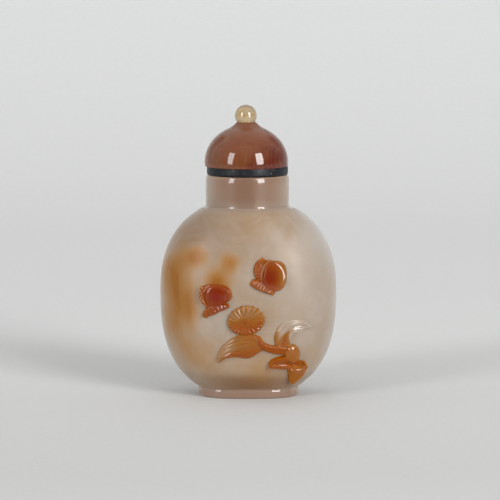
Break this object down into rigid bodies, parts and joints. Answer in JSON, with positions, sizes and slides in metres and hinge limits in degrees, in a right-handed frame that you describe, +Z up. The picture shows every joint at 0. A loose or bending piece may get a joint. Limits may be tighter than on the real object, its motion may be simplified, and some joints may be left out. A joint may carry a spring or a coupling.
{
  "type": "snuff bottle",
  "caption": "Flattened ovoid snuff bottle of mottled chalcedony, carved in relief with butterflies over a chrysanthemum, hollow, with a loose domed stopper",
  "frame": {"origin": "under the middle of the foot, on the surface that the bottle stands on", "axes": "+Z up through the neck, -Y out of the carved front, +X to the viewer's right"},
  "size_m": [0.04, 0.0289, 0.066],
  "materials": {
    "chalcedony": "satin",
    "cork": "matte",
    "black_collar": "satin",
    "carnelian": "polished",
    "amber_bead": "polished"
  },
  "bodies": {
    "root": {"bottle": "chalcedony", "stopper_cork": "cork", "stopper_collar": "black_collar", "stopper_dome": "carnelian", "stopper_bead": "amber_bead"}
  },
  "joints": []
}
